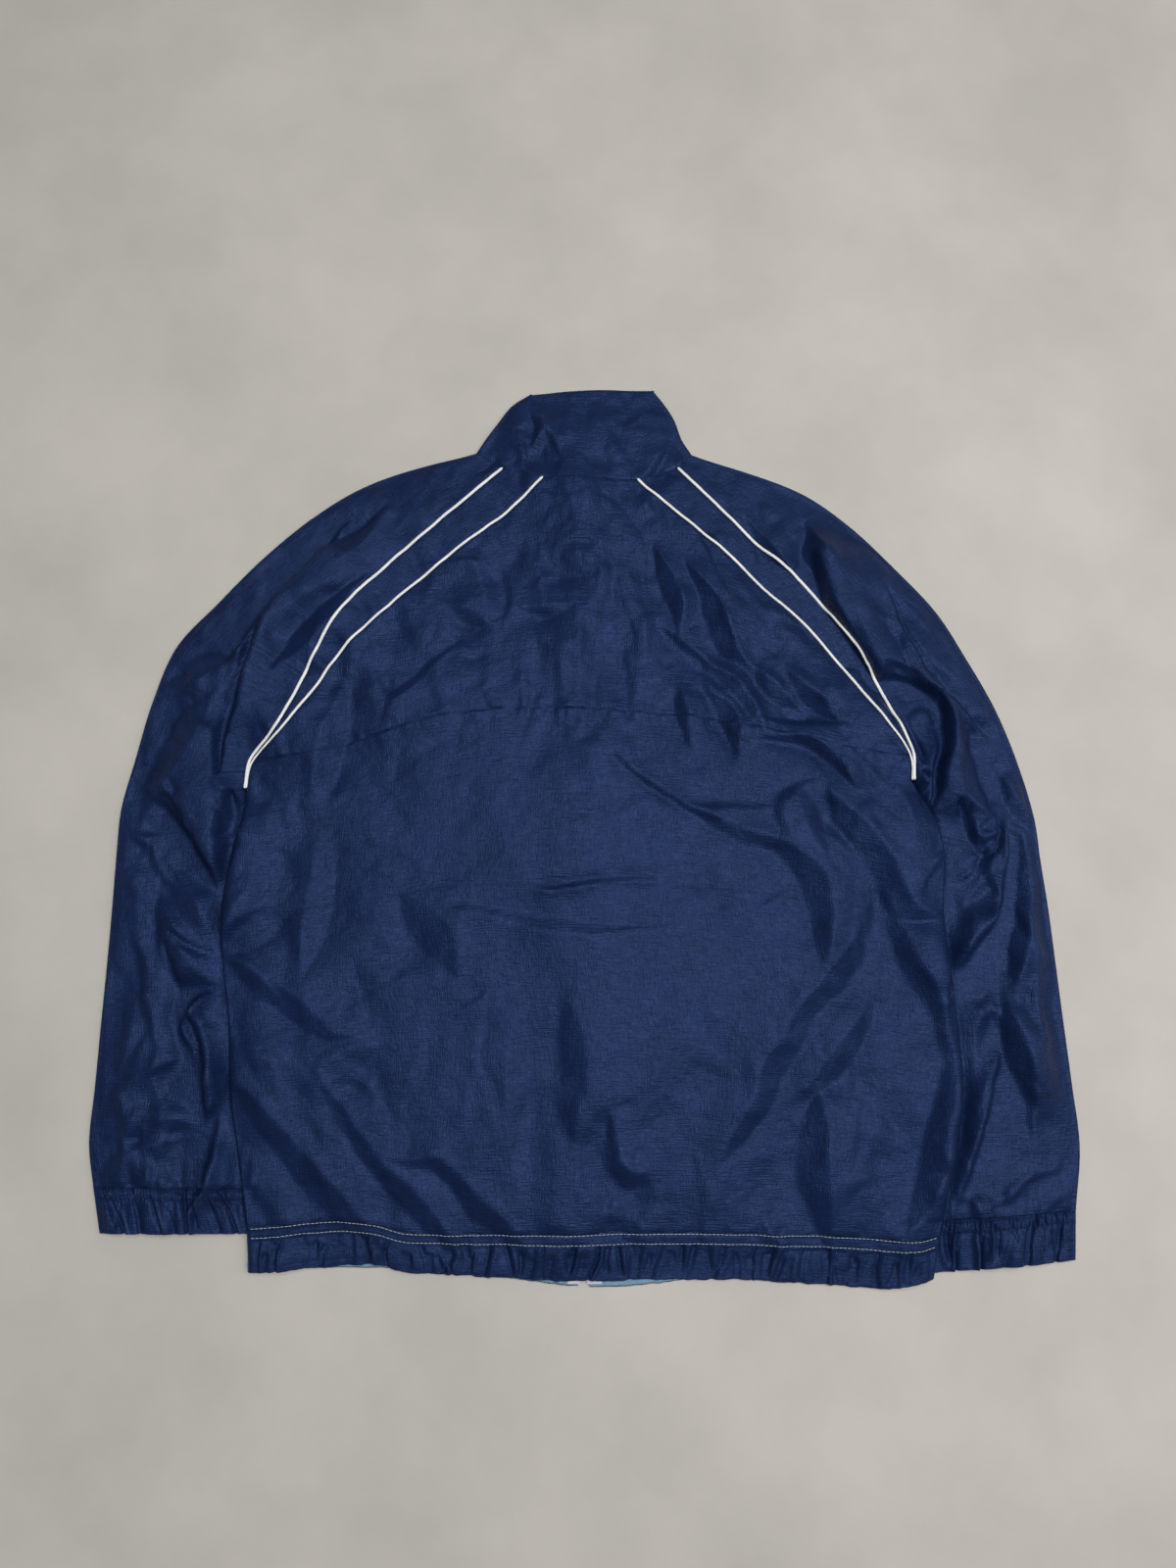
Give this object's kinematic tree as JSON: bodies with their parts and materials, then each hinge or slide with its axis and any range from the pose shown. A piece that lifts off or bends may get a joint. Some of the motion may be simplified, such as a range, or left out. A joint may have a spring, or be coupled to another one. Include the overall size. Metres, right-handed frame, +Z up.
{
  "type": "track jacket",
  "caption": "Zip-up nylon track jacket with raglan sleeves, piping, stand collar and elastic hem and cuffs, laid out flat with its back up.",
  "frame": {"origin": "on the surface that the jacket lies on, at the bottom centre of its box", "axes": "+Z up from the surface to the jacket's back, +Y towards the collar, +X towards the wearer's right sleeve"},
  "size_m": [0.837, 0.8004, 0.0181],
  "materials": {
    "nylon_navy": "crinkled nylon taffeta, soft sheen",
    "nylon_light_blue": "crinkled nylon taffeta, soft sheen",
    "piping_white": "satin bias tape over a cord",
    "zip_tape": "woven polyester tape",
    "zip_teeth": "moulded",
    "zip_metal": "die cast, lacquered"
  },
  "bodies": {
    "garment": {"back_yoke": "nylon_navy", "back_lower": "nylon_navy", "inset_left": "nylon_navy", "inset_right": "nylon_navy", "sleeve_left": "nylon_navy", "sleeve_right": "nylon_navy", "cuff_left": "nylon_navy", "cuff_right": "nylon_navy", "hem_back": "nylon_navy", "collar": "nylon_navy", "front_left": "nylon_light_blue", "front_right": "nylon_light_blue", "hem_front_left": "nylon_light_blue", "hem_front_right": "nylon_light_blue", "piping_outer_left": "piping_white", "piping_inner_left": "piping_white", "piping_outer_right": "piping_white", "piping_inner_right": "piping_white", "zip_tape_left": "zip_tape", "zip_tape_right": "zip_tape", "zip_chain": "zip_teeth", "zip_slider": "zip_metal"},
    "pull": {"zip_pull": "zip_metal"}
  },
  "joints": [
    {"name": "pull_swing", "type": "hinge", "parent": "garment", "child": "pull", "pos_m": [0, 0.339, 0.00145], "axis": [1, 0, 0], "range_deg": [0, 150]}
  ]
}
